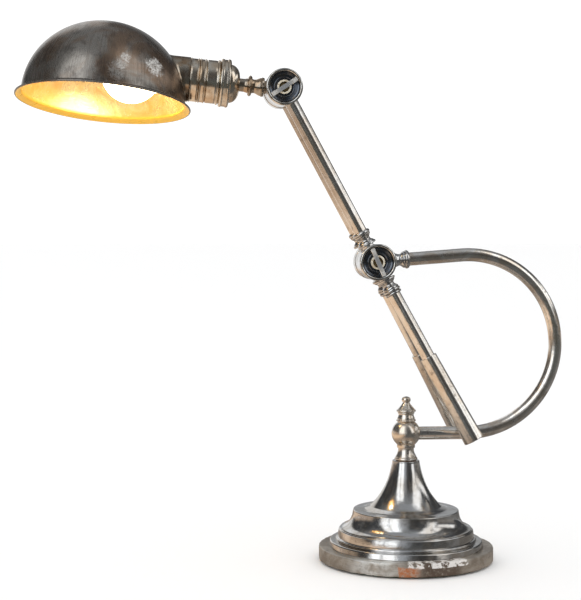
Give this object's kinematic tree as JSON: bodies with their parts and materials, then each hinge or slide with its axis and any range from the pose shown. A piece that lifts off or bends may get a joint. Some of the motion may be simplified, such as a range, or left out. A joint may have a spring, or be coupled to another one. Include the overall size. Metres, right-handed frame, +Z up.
{
  "type": "desk lamp",
  "caption": "Architect desk lamp with a stepped round base, swivelling bow tube, double counterweighted arm, clamp knobs and a tilting domed metal shade.",
  "frame": {"origin": "on the table, at the centre of the base's underside", "axes": "+Z up, +X from the stem towards the outside of the bow, the shade reaches out along -X, and the clamp knobs face -Y"},
  "size_m": [0.513, 0.1685, 0.5036],
  "materials": {
    "felt": "dense wool felt",
    "disc_metal": "worn plated steel with chips down to copper and bright flakes",
    "ballast_iron": "as cast",
    "nickel": "antique nickel plate over brass, polished, with warm wear",
    "knob_nickel": "turned antique nickel, darkened inside the dish",
    "stud_brass": "machined brass",
    "hardware_steel": "zinc plated",
    "fibre": "red fibre washer",
    "gland_black": "moulded nylon",
    "flex_black": "insulated flex",
    "aged_brass": "aged nickelled brass, tarnished brown",
    "ceramic": "white glazed porcelain",
    "cap_metal": "screw cap",
    "opal_glass": "opal glass, lit",
    "shade_bronze": "spun metal, dark antique bronze outside and gilded inside"
  },
  "bodies": {
    "base": {"felt_pad": "felt", "base_disc": "disc_metal", "base_ballast": "ballast_iron", "base_skirt": "nickel", "base_cone": "nickel", "swivel_stud": "stud_brass", "tie_nut": "hardware_steel", "tie_washer": "hardware_steel", "swivel_washer": "fibre", "swivel_nut": "hardware_steel", "cord_gland": "gland_black", "base_flex": "flex_black"},
    "bow": {"neck_ball": "nickel", "finial": "nickel", "bow_tube": "nickel", "bow_collar": "nickel", "elbow_centre_knuckle": "nickel", "elbow_washers": "fibre", "bow_flex": "flex_black"},
    "arm": {"elbow_front_knuckle": "nickel", "elbow_rear_knuckle": "nickel", "upper_tube_front": "nickel", "upper_tube_rear": "nickel", "lower_tube_front": "nickel", "lower_tube_rear": "nickel", "collars_front": "nickel", "collars_rear": "nickel", "counterweight_front": "nickel", "counterweight_rear": "nickel", "elbow_bolt": "stud_brass", "elbow_rear_cap": "nickel", "head_front_knuckle": "nickel", "head_rear_knuckle": "nickel", "head_bolt": "stud_brass", "head_rear_cap": "nickel", "arm_flex": "flex_black"},
    "elbow_knob": {"elbow_knob_cup": "knob_nickel", "elbow_knob_bar": "nickel"},
    "head_knob": {"head_knob_cup": "knob_nickel", "head_knob_bar": "nickel"},
    "head": {"head_spigot": "aged_brass", "head_washers": "fibre", "holder_cap": "aged_brass", "holder_flange": "aged_brass", "holder_body": "aged_brass", "shade_ring_rear": "aged_brass", "shade_ring_front": "aged_brass", "retaining_ring": "aged_brass", "ceramic_insert": "ceramic", "screw_shell": "stud_brass", "centre_contact": "stud_brass", "terminal_screws": "stud_brass", "bulb_cap": "cap_metal", "bulb_globe": "opal_glass", "head_flex": "flex_black"},
    "shade": {"shade_dome": "shade_bronze", "shade_lip": "shade_bronze", "shade_neck": "shade_bronze"}
  },
  "joints": [
    {"name": "base_swivel", "type": "hinge", "parent": "base", "child": "bow", "pos_m": [0, 0, 0.095], "axis": [0, 0, 1], "range_deg": [-170, 170]},
    {"name": "elbow_pivot", "type": "hinge", "parent": "bow", "child": "arm", "pos_m": [-0.031, 0, 0.2829], "axis": [0, 1, 0], "range_deg": [-45, 75]},
    {"name": "elbow_clamp", "type": "hinge", "parent": "arm", "child": "elbow_knob", "pos_m": [-0.031, 0, 0.2829], "axis": [0, -1, 0], "range_deg": [0, 180]},
    {"name": "head_pivot", "type": "hinge", "parent": "arm", "child": "head", "pos_m": [-0.1178, 0, 0.44344], "axis": [0, 1, 0], "range_deg": [-85, 60]},
    {"name": "head_clamp", "type": "hinge", "parent": "arm", "child": "head_knob", "pos_m": [-0.1178, 0, 0.44344], "axis": [0, -1, 0], "range_deg": [0, 180]},
    {"name": "shade_twist", "type": "hinge", "parent": "head", "child": "shade", "pos_m": [-0.21736, 0, 0.45284], "axis": [-0.9956, 0, 0.0941], "range_deg": [-60, 60]}
  ]
}
